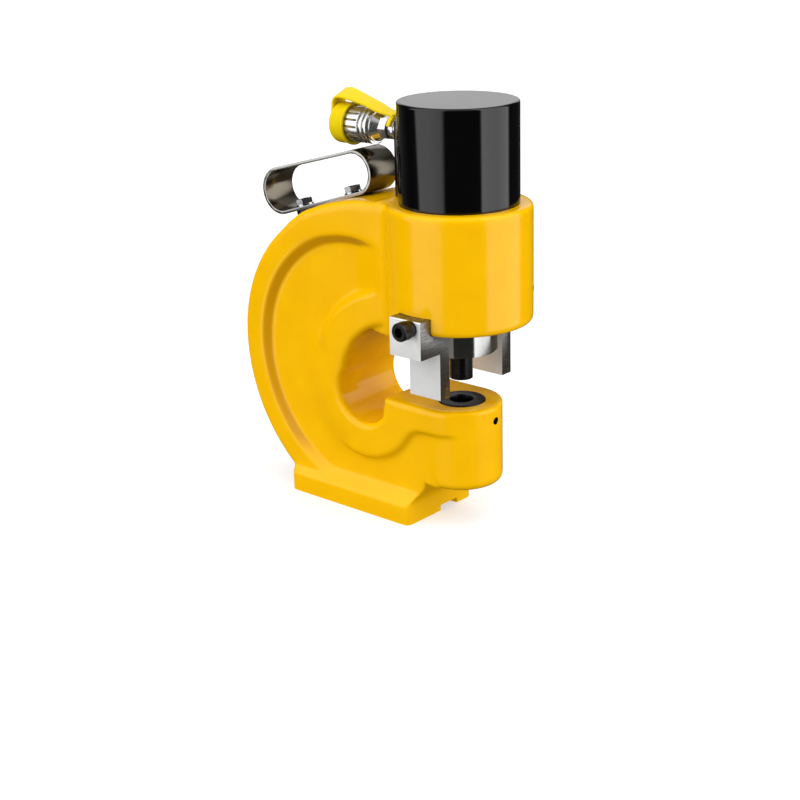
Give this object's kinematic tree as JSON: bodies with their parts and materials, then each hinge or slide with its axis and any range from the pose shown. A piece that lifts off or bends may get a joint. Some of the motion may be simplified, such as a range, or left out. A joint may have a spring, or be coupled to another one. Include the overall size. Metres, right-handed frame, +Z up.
{
  "type": "hydraulic hole punch",
  "caption": "Bench hydraulic hole punch: a cast C-frame with a ram and punch over a die, stripper legs, carrying handle and oil coupler",
  "frame": {"origin": "the middle of the part's bounding box in the plane of the foot's underside, which the machine stands on; the punch axis is vertical at x = 0, y = -82.15 mm", "axes": "+Z is up, along the punch axis; -Y is the front, where the throat is open; +Y is the spine of the C-frame; X is the frame's thickness, with the two strippers at -X and +X"},
  "size_m": [0.1756, 0.2888, 0.373],
  "materials": {
    "yellow_paint": "gloss enamel over a steel casting",
    "black_paint": "black gloss enamel",
    "ram_chrome": "ground hard chrome",
    "seal_rubber": "nitrile",
    "guide_plastic": "filled nylon",
    "spring_steel": "oiled spring wire",
    "bronze": "turned bronze",
    "dark_tool_steel": "hardened and blackened",
    "black_screw": "black oxide",
    "bright_steel": "ground bright, zinc plated",
    "stainless": "polished stainless",
    "zinc_screw": "bright zinc",
    "coupler_chrome": "bright nickel chrome",
    "cap_plastic": "soft moulded vinyl"
  },
  "bodies": {
    "body": {"frame": "yellow_paint", "barrel": "black_paint", "inlet_block": "black_paint", "return_spring": "spring_steel", "rod_bush": "bronze", "rod_wiper": "seal_rubber", "die": "dark_tool_steel", "die_screw": "black_screw", "left_stripper": "bright_steel", "right_stripper": "bright_steel", "stripper_screws": "black_screw", "stripper_washers": "black_screw", "handle": "stainless", "handle_bolts": "zinc_screw", "handle_washers": "zinc_screw", "handle_spacers": "dark_tool_steel", "port_nipple": "coupler_chrome", "port_washer": "seal_rubber", "coupler_body": "coupler_chrome", "sleeve_clip": "spring_steel", "valve_spring": "spring_steel", "cap_tether": "cap_plastic"},
    "ram": {"ram": "ram_chrome", "piston_seal": "seal_rubber", "wear_ring": "guide_plastic", "punch": "dark_tool_steel"},
    "sleeve": {"coupler_sleeve": "coupler_chrome"},
    "valve": {"coupler_valve": "stainless", "valve_seal": "seal_rubber"},
    "cap": {"dust_cap": "cap_plastic"}
  },
  "joints": [
    {"name": "ram_slide", "type": "slide", "parent": "body", "child": "ram", "axis": [0, 0, -1], "range_m": [0, 0.025], "stiffness_N_per_m": 10000, "springref_m": -0.03, "deforming": ["return_spring"]},
    {"name": "sleeve_turn", "type": "hinge", "parent": "body", "child": "sleeve", "pos_m": [0, 0, 0.3412], "axis": [0, 1, 0], "continuous": true},
    {"name": "valve_push", "type": "slide", "parent": "body", "child": "valve", "axis": [0, -1, 0], "range_m": [0, 0.004], "stiffness_N_per_m": 1500, "springref_m": -0.004, "deforming": ["valve_spring"]},
    {"name": "cap_pull", "type": "slide", "parent": "body", "child": "cap", "axis": [0, 1, 0], "range_m": [0, 0.018], "deforming": ["cap_tether"]}
  ]
}
